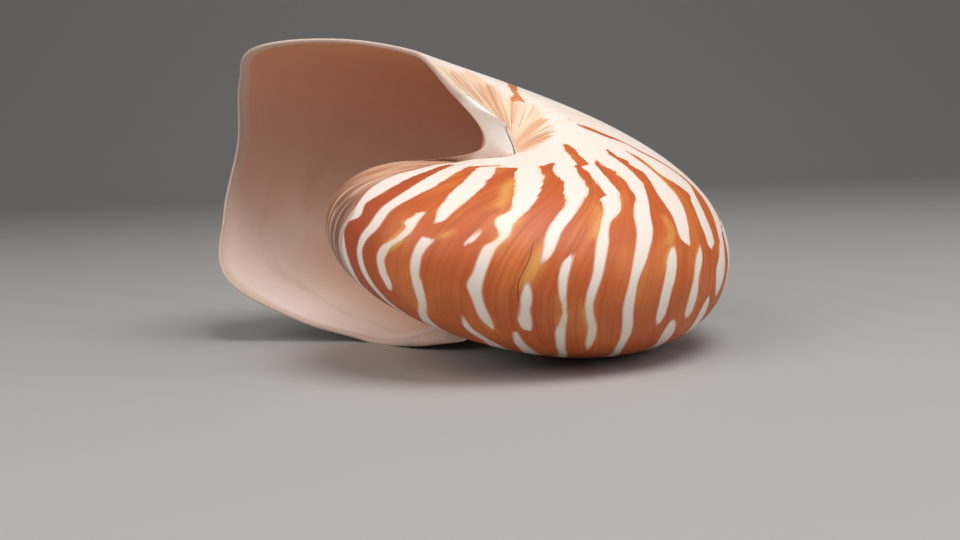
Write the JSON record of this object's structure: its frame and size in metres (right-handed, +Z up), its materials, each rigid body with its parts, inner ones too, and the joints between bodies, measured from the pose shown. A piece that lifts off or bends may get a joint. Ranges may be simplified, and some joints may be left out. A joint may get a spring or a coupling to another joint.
{
  "type": "nautilus shell",
  "caption": "Coiled nautilus shell lying on its flank, with a wide flared aperture, a hollow living chamber, a callus over the umbilicus and flame-striped flanks.",
  "frame": {"origin": "on the ground under the middle of the shell's bounding box, as it lies on its flank", "axes": "+Z up from the ground, +X away from the aperture side, +Y away from the side that shows the coil's nose"},
  "size_m": [0.1454, 0.138, 0.0863],
  "materials": {
    "shell": "satin"
  },
  "bodies": {
    "root": {"nautilus_shell": "shell"}
  },
  "joints": []
}
